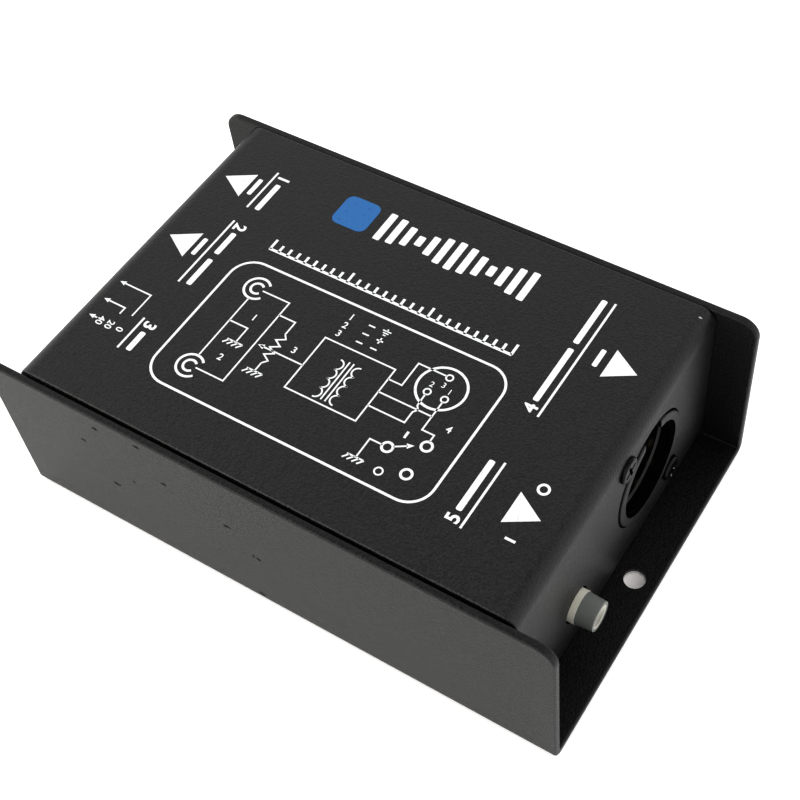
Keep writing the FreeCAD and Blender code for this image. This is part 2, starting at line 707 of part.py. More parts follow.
def attenuator_slider():
    x0 = att_carriage_x()
    carriage = att_box(x0, x0 + ATT_CARRIAGE_T, ATT_CARRIAGE_HALF_W, ATT_CARRIAGE_HALF_H)
    knob = att_box(IN_END - ATT_KNOB_OUT, x0, ATT_KNOB_HALF_Y, ATT_KNOB_HALF_Z)
    tip = edges_where(knob, lambda e: e.BoundBox.XMax < IN_END - ATT_KNOB_OUT + SAME)
    return carriage.fuse(knob.makeFillet(MOULD_R, tip))


def attenuator_wiper():
    x0 = att_carriage_x() + ATT_CARRIAGE_T
    x1 = att_base_x() - ATT_PAD_T - GAP
    clips = []
    for row in (-1, 1):
        z = ATT_Z + row * ATT_ROW_Z
        clip = att_box(x0, x1, ATT_CLIP_HALF_W, ATT_CLIP_HALF_H, z=z)
        inner_half_w = ATT_CLIP_HALF_W - ATT_CLIP_T
        hollow = att_box(x0 + ATT_CLIP_T, x1 + PAST, inner_half_w, ATT_CLIP_HALF_H + PAST, z=z)
        clips.append(clip.cut(hollow))
    return Part.makeCompound(clips)


def attenuator_screws():
    length = LID_T + ATT_FRAME_T + SCREW_END
    screws = [
        pan_screw_x(IN_END, -1, y, ATT_Z, ATT_HEAD_R, ATT_HEAD_H, ATT_SCREW_R, length)
        for y in att_screw_ys()
    ]
    return Part.makeCompound(screws)


def attenuator_wire(index):
    y, z = att_terminal_places()[index * 2]
    x = att_base_x() + ATT_BASE_T + ATT_TERMINAL_L
    return drop_wire(x, 1, y, z, ATT_WIRE_LEAD, ATT_WIRE_R)


def circuit_board():
    z0 = BOARD_TOP - BOARD_T
    board = box(BOARD_X0, BOARD_X1, -BOARD_HALF_W, BOARD_HALF_W, z0, BOARD_TOP)
    side = BOARD_HALF_W + PAST
    notch = box(BOARD_NOTCH_X, BOARD_X1 + PAST, BOARD_NOTCH_Y, side, z0 - PAST, BOARD_TOP + PAST)
    board = board.cut(notch)
    board = board.makeFillet(BOARD_CORNER_R, edges_where(board, lambda e: along(e, "z")))
    screw_places = BOARD_SCREWS + strap_screw_places()
    drills = [rod_z(x, y, z0 - PAST, BOARD_TOP + PAST, M3_CLEAR_R) for x, y in screw_places]
    xs, ys = switch_terminal_grid()
    lead_places = [(x, y) for x in xs for y in ys] + resistor_lead_places() + transformer_pin_places()
    drills += [rod_z(x, y, z0 - PAST, BOARD_TOP + PAST, LEAD_HOLE_R) for x, y in lead_places]
    for jack_y in (INPUT_JACK_Y, LINK_JACK_Y):
        for leg_x in (tip_leg_x(), sleeve_leg_x()):
            drills.append(contact_slot(leg_x, jack_y, z0 - PAST, BOARD_TOP + PAST))
    return board.cut(Part.makeCompound(drills))


def board_standoffs():
    z1 = BOARD_TOP - BOARD_T
    posts = []
    for x, y in BOARD_SCREWS:
        post = hex_z(x, y, SHELL_T, z1, STANDOFF_AF)
        posts.append(post.cut(rod_z(x, y, SHELL_T + PAST, z1 + PAST, M3_R)))
    return Part.makeCompound(posts)


def pan_screw_down(x, y, length):
    """A pan-head screw with its head on the board's top face."""
    screw = pan_screw_x(0, 1, 0, 0, BOARD_HEAD_R, BOARD_HEAD_H, M3_R - FIT, length)
    screw.rotate(V(0, 0, 0), V(0, 1, 0), -90)
    screw.translate(V(x, y, BOARD_TOP))
    return screw


def board_screws():
    return Part.makeCompound([pan_screw_down(x, y, BOARD_SCREW_L) for x, y in BOARD_SCREWS])


def transformer_core():
    z1 = CORE_Z0 + CORE_H
    half = CORE_STACK / 2
    core = box(TX_X - CORE_W / 2, TX_X + CORE_W / 2, TX_Y - half, TX_Y + half, CORE_Z0, z1)
    for side in (-1, 1):
        inner = TX_X + side * CORE_LEG / 2
        outer = TX_X + side * (CORE_W / 2 - CORE_YOKE)
        x0, x1 = sorted((inner, outer))
        y0 = TX_Y - half - PAST
        y1 = TX_Y + half + PAST
        core = core.cut(box(x0, x1, y0, y1, CORE_Z0 + CORE_YOKE, z1 - CORE_YOKE))
    return core


def coil_half_x():
    return CORE_W / 2 - CORE_YOKE - 3 * GAP


def coil_ring(half_x, half_y, z0, z1, inner):
    """A closed rectangular ring round the core's middle leg."""
    ring = box(TX_X - half_x, TX_X + half_x, TX_Y - half_y, TX_Y + half_y, z0, z1)
    leg_x = CORE_LEG / 2 + inner
    leg_y = CORE_STACK / 2 + inner
    return ring.cut(box(TX_X - leg_x, TX_X + leg_x, TX_Y - leg_y, TX_Y + leg_y, z0 - PAST, z1 + PAST))


def transformer_bobbin():
    z0 = CORE_Z0 + CORE_YOKE + GAP
    z1 = CORE_Z0 + CORE_H - CORE_YOKE - GAP
    wall_x = CORE_LEG / 2 + BOBBIN_T
    wall_y = CORE_STACK / 2 + BOBBIN_T
    bobbin = coil_ring(wall_x, wall_y, z0, z1, FIT)
    for low in (z0, z1 - BOBBIN_T):
        bobbin = bobbin.fuse(coil_ring(coil_half_x(), BOBBIN_REACH, low, low + BOBBIN_T, FIT))
    for side in (-1, 1):
        y0, y1 = sorted((TX_Y + side * (CORE_STACK / 2 + 1), TX_Y + side * BOBBIN_REACH))
        foot = box(TX_X - coil_half_x(), TX_X + coil_half_x(), y0, y1, BOARD_TOP, z0)
        bobbin = bobbin.fuse(foot)
    for x, y in transformer_pin_places():
        bobbin = bobbin.cut(box(x - LEAD_R - FIT, x + LEAD_R + FIT, y - LEAD_R - FIT, y + LEAD_R + FIT,
                                BOARD_TOP - PAST, TX_PIN_TOP))
    return bobbin.removeSplitter()


def transformer_winding():
    z0 = CORE_Z0 + CORE_YOKE + GAP + BOBBIN_T
    z1 = CORE_Z0 + CORE_H - CORE_YOKE - GAP - BOBBIN_T
    coil = coil_ring(coil_half_x() - COIL_INSET, BOBBIN_REACH - COIL_INSET, z0, z1, BOBBIN_T)
    outside = edges_where(coil, lambda e: along(e, "z") and abs(e.BoundBox.XMin - TX_X) > CORE_LEG)
    return coil.makeFillet(COIL_CORNER_R, outside)


def transformer_pin_places():
    return [(TX_X + dx, TX_Y + dy) for dx in TX_PIN_DX for dy in TX_PIN_DY]


def transformer_pins():
    pins = [
        box(x - LEAD_R, x + LEAD_R, y - LEAD_R, y + LEAD_R, LEAD_END, TX_PIN_TOP)
        for x, y in transformer_pin_places()
    ]
    return Part.makeCompound(pins)


def strap_screw_places():
    reach = CORE_W / 2 + STRAP_T + STRAP_FOOT / 2
    return [(TX_X - reach, TX_Y), (TX_X + reach, TX_Y)]


def transformer_strap():
    side = CORE_W / 2
    top = CORE_Z0 + CORE_H
    foot = BOARD_TOP
    run = [
        (TX_X + side + STRAP_FOOT, foot), (TX_X + side, foot), (TX_X + side, top),
        (TX_X - side, top), (TX_X - side, foot), (TX_X - side - STRAP_FOOT, foot),
    ]
    run = [(x, z) for x, z in run[::-1]]
    strap = strip(run, STRAP_T, TX_Y - STRAP_HALF_W, TX_Y + STRAP_HALF_W)
    for x, y in strap_screw_places():
        strap = strap.cut(rod_z(x, y, foot - PAST, foot + STRAP_T + PAST, M3_CLEAR_R))
    return strap


def transformer_screws():
    screws = []
    for x, y in strap_screw_places():
        screw = pan_screw_down(x, y, STRAP_T + BOARD_T + M3_NUT_H + SCREW_END)
        screw.translate(V(0, 0, STRAP_T))
        screws.append(screw)
    return Part.makeCompound(screws)


def transformer_nuts():
    z1 = BOARD_TOP - BOARD_T
    nuts = []
    for x, y in strap_screw_places():
        nut = hex_z(x, y, z1 - M3_NUT_H, z1, M3_NUT_AF)
        nuts.append(nut.cut(rod_z(x, y, z1 - M3_NUT_H - PAST, z1 + PAST, M3_R)))
    return Part.makeCompound(nuts)


def resistor_lead_places():
    half = RESISTOR_PITCH / 2
    return [(RESISTOR_X + side * half, y) for y in RESISTOR_YS for side in (-1, 1)]


def resistor(y):
    z = BOARD_TOP + RESISTOR_R + RESISTOR_LIFT
    half = RESISTOR_PITCH / 2
    body = rod_x(RESISTOR_X - RESISTOR_L / 2, RESISTOR_X + RESISTOR_L / 2, y, z, RESISTOR_R)
    rims = edges_where(body, lambda e: e.BoundBox.XLength < SAME)
    piece = body.makeFillet(RESISTOR_ROUND, rims)
    piece = piece.fuse(rod_x(RESISTOR_X - half, RESISTOR_X + half, y, z, LEAD_R))
    for side in (-1, 1):
        x = RESISTOR_X + side * half
        piece = piece.fuse(Part.makeSphere(LEAD_R, V(x, y, z)))
        piece = piece.fuse(rod_z(x, y, LEAD_END, z, LEAD_R))
    return piece


def main():
    os.makedirs("parts", exist_ok=True)
    save("outer_shell", outer_shell())
    save("lid_panel", lid_panel())
    save("case_screws", case_screws())
    save("circuit_board", circuit_board())
    save("board_standoffs", board_standoffs())
    save("board_screws", board_screws())
    save("xlr_housing", xlr_housing())
    save("xlr_insert", xlr_insert())
    save("xlr_screws", xlr_screws())
    save("xlr_nuts", xlr_nuts())
    for number, (dy, dz) in enumerate(XLR_PIN_PLACES, start=1):
        save("xlr_pin_%d" % number, xlr_pin(dy, dz))
        save("xlr_wire_%d" % number, xlr_wire(dy, dz))
    save("ground_switch_body", ground_switch_body())
    save("ground_switch_plunger", ground_switch_plunger())
    save("ground_button_cap", ground_button_cap())
    save("ground_switch_spring", ground_switch_spring())
    save("ground_switch_terminals", ground_switch_terminals())
    for name, y in (("input_jack", INPUT_JACK_Y), ("link_jack", LINK_JACK_Y)):
        save(name + "_body", jack_body(y))
        save(name + "_nut", jack_nut(y))
        save(name + "_washer", jack_washer(y))
        save(name + "_tip_contact", jack_tip_contact(y))
        save(name + "_sleeve_contact", jack_sleeve_contact(y))
    save("attenuator_frame", attenuator_frame())
    save("attenuator_base", attenuator_base())
    save("attenuator_slider", attenuator_slider())
    save("attenuator_wiper", attenuator_wiper())
    save("attenuator_terminals", attenuator_terminals())
    save("attenuator_screws", attenuator_screws())
    for index in range(4):
        save("attenuator_wire_%d" % (index + 1), attenuator_wire(index))
    save("transformer_core", transformer_core())
    save("transformer_bobbin", transformer_bobbin())
    save("transformer_winding", transformer_winding())
    save("transformer_strap", transformer_strap())
    save("transformer_pins", transformer_pins())
    save("transformer_screws", transformer_screws())
    save("transformer_nuts", transformer_nuts())
    for number, y in enumerate(RESISTOR_YS, start=1):
        save("resistor_%d" % number, resistor(y))


main()
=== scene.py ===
import bpy
import math
from mathutils import Matrix, Vector


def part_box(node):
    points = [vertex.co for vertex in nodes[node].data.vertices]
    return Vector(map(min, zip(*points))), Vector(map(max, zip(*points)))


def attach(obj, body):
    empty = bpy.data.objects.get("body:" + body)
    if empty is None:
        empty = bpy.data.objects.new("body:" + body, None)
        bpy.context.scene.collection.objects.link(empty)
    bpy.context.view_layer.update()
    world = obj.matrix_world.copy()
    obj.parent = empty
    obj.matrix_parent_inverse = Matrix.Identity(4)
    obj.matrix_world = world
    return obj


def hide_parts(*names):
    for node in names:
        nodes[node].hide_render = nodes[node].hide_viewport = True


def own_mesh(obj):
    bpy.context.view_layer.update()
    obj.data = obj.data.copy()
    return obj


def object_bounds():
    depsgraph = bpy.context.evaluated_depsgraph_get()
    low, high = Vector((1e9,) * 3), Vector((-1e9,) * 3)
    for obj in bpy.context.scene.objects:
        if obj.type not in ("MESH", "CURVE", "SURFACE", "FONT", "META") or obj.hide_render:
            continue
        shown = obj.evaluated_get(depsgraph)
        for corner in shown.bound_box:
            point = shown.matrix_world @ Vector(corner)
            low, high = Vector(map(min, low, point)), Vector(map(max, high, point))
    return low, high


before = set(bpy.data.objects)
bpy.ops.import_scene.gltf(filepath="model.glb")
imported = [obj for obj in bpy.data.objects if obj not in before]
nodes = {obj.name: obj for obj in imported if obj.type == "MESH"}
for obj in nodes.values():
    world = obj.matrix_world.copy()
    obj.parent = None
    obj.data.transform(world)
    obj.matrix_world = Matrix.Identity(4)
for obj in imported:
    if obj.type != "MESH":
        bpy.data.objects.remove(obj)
cad_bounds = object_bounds()

MM = 0.001

# Camera: pose in metres and unit vectors, lens for the default 36 mm sensor
CAMERA_PLACE = Vector((0.1105, -0.12582, 0.2445))
CAMERA_RIGHT = Vector((0.8504, 0.5227, -0.0603))
CAMERA_UP = Vector((-0.3885, 0.7011, 0.5980))
CAMERA_LENS = 65.32
CAMERA_SHIFT = (-0.0681, -0.0136)
CAMERA_CLIP = 0.01

# Powder coat: specular level of lid and shell, how much lighter the shell is, and the grain
LID_SPECULAR = 0.6
SHELL_SPECULAR = 0.38
SHELL_LIFT = 0.005
COAT_TONES = ((0.0010, 0.0010, 0.0011), (0.0150, 0.0150, 0.0154))
COAT_ROUGH = (0.36, 0.50)
GRAIN_SCALE = 2.7
GRAIN_SPAN = (0.34, 0.68)
GRAIN_DEPTH = 0.12

# Small marks, in millimetres: flecks are dull and dark, chips are light, and all marks are longer along X
FLECK_R = 0.42
FLECK_TONE = (0.001, 0.001, 0.001)
FLECK_ROUGH = 0.9
CHIP_R = 0.2
CHIP_TONE = (0.45, 0.45, 0.44)
MARK_STRETCH = (0.6, 1.0, 1.0)

# The base's holes are uncoated below this height
BARE_TOP = 0.8
BARE_TONE = (0.62, 0.62, 0.62)

# Lid print: the ink's height and the widths of its lines, in millimetres
PRINT_H = 0.03
LINE_W = 0.5
RULE_W = 0.45
THIN_W = 0.32
SIGN_W = 0.256

# Steps in a quarter turn of a frame, in a filled bar's corner and in a ring
CORNER_STEPS = 10
BAR_STEPS = 4
RING_STEPS = 48


# ---------------------------------------------------------------- shading

class Shader:
    """A Principled material that is put together one node at a time."""

    def __init__(self, name, rough, metallic=0.0, specular=0.5):
        self.mat = bpy.data.materials.new(name)
        self.mat.use_nodes = True
        self.tree = self.mat.node_tree
        self.bsdf = self.tree.nodes["Principled BSDF"]
        self.bsdf.inputs["Roughness"].default_value = rough
        self.bsdf.inputs["Metallic"].default_value = metallic
        self.bsdf.inputs["Specular IOR Level"].default_value = specular
        coords = self.node("ShaderNodeTexCoord")
        scale = self.node("ShaderNodeVectorMath", operation="SCALE")
        scale.inputs["Scale"].default_value = 1 / MM
        self.link(coords.outputs["Object"], scale.inputs[0])
        self.place = scale.outputs[0]

    def node(self, kind, **settings):
        made = self.tree.nodes.new(kind)
        for key, value in settings.items():
            setattr(made, key, value)
        return made

    def link(self, source, target):
        self.tree.links.new(source, target)

    def noise(self, scale, detail=3.0):
        """Noise with about that many features per millimetre."""
        tex = self.node("ShaderNodeTexNoise")
        tex.inputs["Scale"].default_value = scale
        tex.inputs["Detail"].default_value = detail
        self.link(self.place, tex.inputs["Vector"])
        return tex.outputs["Fac"]

    def mottle(self, dark, light):
        """A slow drift between two tones."""
        return self.ramp(self.noise(0.25), (0.3, dark), (0.75, light))

    def gloss(self, low, high):
        """A roughness that drifts between two values."""
        return self.span(self.noise(1.1, 2.0), 0.3, 0.7, low, high)

    def math(self, operation, a, b):
        made = self.node("ShaderNodeMath", operation=operation)
        for socket, value in zip(made.inputs, (a, b)):
            if isinstance(value, (int, float)):
                socket.default_value = value
            else:
                self.link(value, socket)
        return made.outputs[0]

    def span(self, value, low, high, to_low, to_high):
        """value from low..high is carried to to_low..to_high and kept inside it."""
        made = self.node("ShaderNodeMapRange")
        for socket, number in zip(list(made.inputs)[1:5], (low, high, to_low, to_high)):
            socket.default_value = number
        self.link(value, made.inputs["Value"])
        return made.outputs["Result"]

    def ramp(self, value, *stops):
        made = self.node("ShaderNodeValToRGB")
        ramp = made.color_ramp
        while len(ramp.elements) < len(stops):
            ramp.elements.new(0.5)
        for element, (place, colour) in zip(ramp.elements, stops):
            element.position = place
            element.color = (*colour, 1)
        self.link(value, made.inputs["Fac"])
        return made.outputs["Color"]

    def mix(self, factor, a, b):
        made = self.node("ShaderNodeMix", data_type="RGBA")
        self.link(factor, made.inputs["Factor"])
        for socket, value in ((made.inputs["A"], a), (made.inputs["B"], b)):
            if isinstance(value, tuple):
                socket.default_value = (*value, 1)
            else:
                self.link(value, socket)
        return made.outputs["Result"]

    def axis(self, name):
        split = self.node("ShaderNodeSeparateXYZ")
        self.link(self.place, split.inputs[0])
        return split.outputs[name]

    def near(self, places, radius):
        """1 within radius of any of the places and 0 elsewhere, in millimetres, with a ragged edge."""
        ragged = self.span(self.noise(1.3, 2.0), 0.3, 0.7, -radius, radius)
        squeeze = self.node("ShaderNodeVectorMath", operation="MULTIPLY")
        squeeze.inputs[1].default_value = MARK_STRETCH
        self.link(self.place, squeeze.inputs[0])
        found = None
        for place in places:
            away = self.node("ShaderNodeVectorMath", operation="DISTANCE")
            away.inputs[1].default_value = [c * k for c, k in zip(place, MARK_STRETCH)]
            self.link(squeeze.outputs[0], away.inputs[0])
            edge = self.math("ADD", away.outputs["Value"], ragged)
            spot = self.span(edge, radius * 0.6, radius, 1.0, 0.0)
            found = spot if found is None else self.math("MAXIMUM", found, spot)
        return found

    def around(self, x, y, z, radius):
        """1 within radius of the line along the axis whose coordinate is None, and 0 elsewhere."""
        soft_edge = 0.03
        centre = [c or 0.0 for c in (x, y, z)]
        flat = self.node("ShaderNodeVectorMath", operation="MULTIPLY")
        flat.inputs[1].default_value = [0.0 if c is None else 1.0 for c in (x, y, z)]
        self.link(self.place, flat.inputs[0])
        away = self.node("ShaderNodeVectorMath", operation="DISTANCE")
        away.inputs[1].default_value = centre
        self.link(flat.outputs[0], away.inputs[0])
        return self.span(away.outputs["Value"], radius - soft_edge, radius, 1.0, 0.0)

    def colour(self, value):
        self.link(value, self.bsdf.inputs["Base Color"])

    def rough(self, value):
        self.link(value, self.bsdf.inputs["Roughness"])

    def bump(self, height, distance, strength=1.0):
        made = self.node("ShaderNodeBump")
        made.inputs["Distance"].default_value = distance * MM
        made.inputs["Strength"].default_value = strength
        self.link(height, made.inputs["Height"])
        self.link(made.outputs["Normal"], self.bsdf.inputs["Normal"])


def powder_coat(name, specular, lift=0.0, flecks=(), chips=(), bare_holes=()):
    """Fine black powder coat, lightened by lift, with dark flecks, light chips and uncoated holes at the
    given places."""
    s = Shader(name, 0.42, specular=specular)
    grain = s.noise(GRAIN_SCALE, 2.0)
    dark, light = ([v + lift for v in tone] for tone in COAT_TONES)
    coat = s.ramp(grain, (GRAIN_SPAN[0], dark), (GRAIN_SPAN[1], light))
    rough = s.span(grain, *GRAIN_SPAN, *COAT_ROUGH)
    if flecks:
        spots = s.near(flecks, FLECK_R)
        coat = s.mix(spots, coat, FLECK_TONE)
        rough = s.math("MAXIMUM", rough, s.math("MULTIPLY", spots, FLECK_ROUGH))
    if chips:
        coat = s.mix(s.near(chips, CHIP_R), coat, CHIP_TONE)
    if bare_holes:
        low = s.span(s.axis("Z"), BARE_TOP - 0.1, BARE_TOP, 1.0, 0.0)
        for x, y, r in bare_holes:
            coat = s.mix(s.math("MULTIPLY", low, s.around(x, y, None, r)), coat, BARE_TONE)
    s.colour(coat)
    s.rough(rough)
    s.bump(grain, GRAIN_DEPTH)
    return s.mat


def moulded(name, dark, light, rough, grain=1.6, depth=0.015):
    """Satin moulded plastic with a slight mottle and a fine spark-eroded grain."""
    s = Shader(name, rough)
    s.colour(s.mottle(dark, light))
    s.rough(s.gloss(rough - 0.06, rough + 0.06))
    s.bump(s.noise(grain), depth, 0.5)
    return s.mat


def button_plastic_with_painted_shade(name, dark, light, painted_shade, tip, tip_rough, rough, grain):
    """Moulded plastic of the button, with painted shade that darkens its barrel towards the underside, and
    polished at its tip.
    """
    s = Shader(name, rough)
    middle = cad_middle("ground_button_cap")
    low = s.span(s.axis("Z"), middle.z - 2.6, middle.z + 2.4, 1.0, 0.0)
    barrel = s.span(s.axis("X"), middle.x + 1.60, middle.x + 1.72, 1.0, 0.0)
    # painted shade: the barrel's colour darkens towards its underside, towards the third colour given
    s.colour(s.mix(s.math("MULTIPLY", low, barrel), s.mix(barrel, tip, s.mottle(dark, light)), painted_shade))
    satin = s.gloss(tip_rough - 0.04, tip_rough + 0.06)
    s.rough(s.math("ADD", satin, s.math("MULTIPLY", barrel, rough - tip_rough)))
    s.bump(s.noise(grain), 0.01, 0.5)
    return s.mat


def socket_shell():
    """Satin black plastic that is polished inside the socket, but for the faces that look out of it."""
    s = Shader("xlr_shell", 0.42)
    s.colour(s.mottle((0.003, 0.003, 0.003), (0.006, 0.006, 0.006)))
    mouth = cad_middle("xlr_housing")
    inside = s.around(None, mouth.y, mouth.z, SOCKET_MOUTH_R)
    facing = s.node("ShaderNodeSeparateXYZ")
    s.link(s.node("ShaderNodeNewGeometry").outputs["Normal"], facing.inputs[0])
    wall = s.span(facing.outputs["X"], 0.3, 0.5, 1.0, 0.0)
    polish = s.math("MULTIPLY", s.math("MULTIPLY", inside, wall), 0.28)
    s.rough(s.math("SUBTRACT", s.gloss(0.36, 0.48), polish))
    s.bump(s.noise(1.6), 0.015, 0.5)
    return s.mat


def cad_middle(name):
    """The middle of a CAD node's box, in millimetres."""
    low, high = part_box(name)
    return (low + high) / 2 / MM


def fine_wear(s, rough):
    """Fine wear in a metal's roughness and surface."""
    wear = s.noise(3.0, 4.0)
    s.rough(s.span(wear, 0.3, 0.75, rough - 0.07, rough + 0.12))
    s.bump(wear, 0.006, 0.4)


def plated(name, dark, light, rough):
    """Plated or bright metal, with an uneven tone and fine wear."""
    s = Shader(name, rough, metallic=1.0)
    s.colour(s.ramp(s.noise(0.5, 4.0), (0.3, dark), (0.7, light)))
    fine_wear(s, rough)
    return s.mat


def blackened():
    """Black oxide on steel, with painted glints: near-white, non-metal spots at a few places."""
    s = Shader("black_screw", 0.32, metallic=1.0)
    black = s.ramp(s.noise(0.5, 4.0), (0.3, (0.012, 0.012, 0.013)), (0.7, (0.035, 0.034, 0.036)))
    shine = 1.0
    for place, radius in SCREW_GLINTS:
        # painted highlight: each spot is near-white and not metal, so it stays bright
        glint = s.near([place], radius)
        black = s.mix(glint, black, (0.90, 0.90, 0.88))
        shine = s.math("SUBTRACT", shine, glint)
    s.colour(black)
    s.link(shine, s.bsdf.inputs["Metallic"])
    fine_wear(s, 0.32)
    return s.mat


def screen_print(name, dark, light):
    """Slightly uneven ink that lets the coat's grain through."""
    s = Shader(name, 0.5)
    s.colour(s.ramp(s.noise(1.6, 4.0), (0.25, dark), (0.42, light)))
    s.rough(s.span(s.noise(0.8, 2.0), 0.3, 0.7, 0.44, 0.58))
    s.bump(s.noise(2.6), 0.02, 0.4)
    return s.mat


def laminate():
    """Green solder mask over faint copper runs."""
    s = Shader("board_laminate", 0.32)
    runs = s.node("ShaderNodeTexBrick")
    runs.inputs["Scale"].default_value = 0.16
    runs.inputs["Mortar Size"].default_value = 0.035
    runs.inputs["Color1"].default_value = (0.012, 0.085, 0.040, 1)
    runs.inputs["Color2"].default_value = (0.016, 0.100, 0.048, 1)
    runs.inputs["Mortar"].default_value = (0.030, 0.160, 0.070, 1)
    s.link(s.place, runs.inputs["Vector"])
    s.colour(runs.outputs["Color"])
    s.bump(runs.outputs["Fac"], 0.03, 0.6)
    return s.mat


def banded(name, base, bands, x_middle, pitch, width):
    """A lacquered resistor body with colour bands across X."""
    s = Shader(name, 0.3)
    x = s.axis("X")
    colour = s.mix(s.noise(0.6, 2.0), base, tuple(v * 1.25 for v in base))
    first = x_middle - pitch * (len(bands) - 1) / 2
    for index, band in enumerate(bands):
        away = s.math("ABSOLUTE", s.math("SUBTRACT", x, first + index * pitch), 0.0)
        colour = s.mix(s.span(away, width * 0.45, width * 0.5, 1.0, 0.0), colour, band)
    s.colour(colour)
    s.bump(s.noise(0.8, 2.0), 0.03, 0.4)
    return s.mat


def wound():
    """Yellow polyester tape wrapped in level turns."""
    s = Shader("winding_tape", 0.3)
    turns = s.node("ShaderNodeTexWave", bands_direction="Z")
    turns.inputs["Scale"].default_value = 0.16
    turns.inputs["Distortion"].default_value = 0.6
    s.link(s.place, turns.inputs["Vector"])
    s.colour(s.ramp(turns.outputs["Fac"], (0.1, (0.42, 0.25, 0.03)), (0.6, (0.62, 0.42, 0.07))))
    s.bump(turns.outputs["Fac"], 0.05, 0.7)
    return s.mat


def stacked():
    """Varnished steel laminations, edge on."""
    s = Shader("core_steel", 0.4, metallic=1.0)
    sheets = s.node("ShaderNodeTexWave", bands_direction="Y")
    sheets.inputs["Scale"].default_value = 0.6
    sheets.inputs["Distortion"].default_value = 0.2
    s.link(s.place, sheets.inputs["Vector"])
    s.colour(s.ramp(sheets.outputs["Fac"], (0.05, (0.05, 0.05, 0.055)), (0.5, (0.22, 0.22, 0.23))))
    s.bump(sheets.outputs["Fac"], 0.04, 0.8)
    return s.mat


# Small marks in the coat, in millimetres: dark flecks on the near side plate, one chip on the lid's fold
PLATE_Y = cad_bounds[0][1] / MM
FLECK_PLACES = [
    (-34, 36), (-39, 29), (-34.5, 17.5), (-20.5, 28), (-7, 24.4),
    (-1.5, 17.7), (-3.3, 2.7), (-28.8, 22.5), (-24, 37.3),
]
CHIP_PLACE = (50.1, 33.9, 39.6)

# Painted glints on the socket's lower screw: near-white spots, each with its radius
SCREW_GLINTS = [((53.15, 20.18, 8.18), 0.34), ((53.15, 21.31, 9.29), 0.16)]

# Bare steel inside the base's two holes: their places and a radius just outside their walls
MOUNT_HOLES = [(side * 56.0, 0.0, 2.19) for side in (-1, 1)]

# The radius of the socket's inside, round its axis
SOCKET_MOUTH_R = 9.9

MATERIALS = {
    "case_coat": powder_coat("case_coat", LID_SPECULAR, chips=[CHIP_PLACE]),
    "shell_coat": powder_coat(
        "shell_coat", SHELL_SPECULAR, SHELL_LIFT, [(x, PLATE_Y, z) for x, z in FLECK_PLACES],
        bare_holes=MOUNT_HOLES),
    "black_screw": blackened(),
    "zinc_steel": plated("zinc_steel", (0.42, 0.43, 0.45), (0.60, 0.60, 0.60), 0.32),
    "board_laminate": laminate(),
    "xlr_shell": socket_shell(),
    "black_plastic": moulded("black_plastic", (0.004, 0.004, 0.004), (0.009, 0.009, 0.009), 0.42),
    "contact_metal": plated("contact_metal", (0.50, 0.44, 0.30), (0.66, 0.60, 0.46), 0.26),
    "spring_metal": plated("spring_metal", (0.45, 0.45, 0.46), (0.60, 0.60, 0.61), 0.22),
    "nickel": plated("nickel", (0.52, 0.51, 0.48), (0.66, 0.65, 0.62), 0.20),
    # The button's third colour is painted shade on the underside of its barrel
    "ivory_plastic": button_plastic_with_painted_shade(
        "ivory_plastic", (0.80, 0.78, 0.67), (0.88, 0.86, 0.76), (0.15, 0.14, 0.13),
        (0.62, 0.61, 0.56), 0.16, 0.34, 1.0),
    "grey_plastic": button_plastic_with_painted_shade(
        "grey_plastic", (0.205, 0.217, 0.205), (0.240, 0.252, 0.240), (0.020, 0.023, 0.028),
        (0.185, 0.195, 0.185), 0.30, 0.36, 1.2),
    "phenolic": moulded("phenolic", (0.13, 0.062, 0.022), (0.20, 0.10, 0.04), 0.5, 1.2, 0.02),
    "core_steel": stacked(),
    "winding_tape": wound(),
    "wire_red": moulded("wire_red", (0.36, 0.015, 0.012), (0.46, 0.030, 0.020), 0.36),
    "wire_black": moulded("wire_black", (0.008, 0.008, 0.008), (0.014, 0.014, 0.014), 0.36),
    "print_white": screen_print("print_white", (0.62, 0.63, 0.64), (0.86, 0.87, 0.88)),
    "print_blue": screen_print("print_blue", (0.020, 0.110, 0.300), (0.032, 0.165, 0.410)),
}


def put_material(obj, material):
    obj.data.materials.clear()
    obj.data.materials.append(material)


def paint(obj, name):
    put_material(obj, MATERIALS[name])


# ---------------------------------------------------------------- mesh helpers

def new_piece(name, verts, faces, slot, smooth=False):
    """A piece of the case from points in millimetres."""
    mesh = bpy.data.meshes.new(name)
    mesh.from_pydata([Vector(v) * MM for v in verts], [], faces)
    mesh.validate()
    mesh.polygons.foreach_set("use_smooth", [smooth] * len(mesh.polygons))
    obj = bpy.data.objects.new(name, mesh)
    bpy.context.scene.collection.objects.link(obj)
    paint(obj, slot)
    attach(obj, "case")
    return obj


def arc(cx, cy, r, a0, a1, steps):
    """Points along an arc, with its angles in degrees."""
    angles = [math.radians(a0 + (a1 - a0) * i / steps) for i in range(steps + 1)]
    return [(cx + r * math.cos(a), cy + r * math.sin(a)) for a in angles]


def rounded_outline(x0, y0, x1, y1, r, steps):
    """A rectangle's outline with rounded corners, counter-clockwise."""
    corners = [(x1 - r, y1 - r, 0), (x0 + r, y1 - r, 90), (x0 + r, y0 + r, 180), (x1 - r, y0 + r, 270)]
    return [p for cx, cy, a in corners for p in arc(cx, cy, r, a, a + 90, steps)]


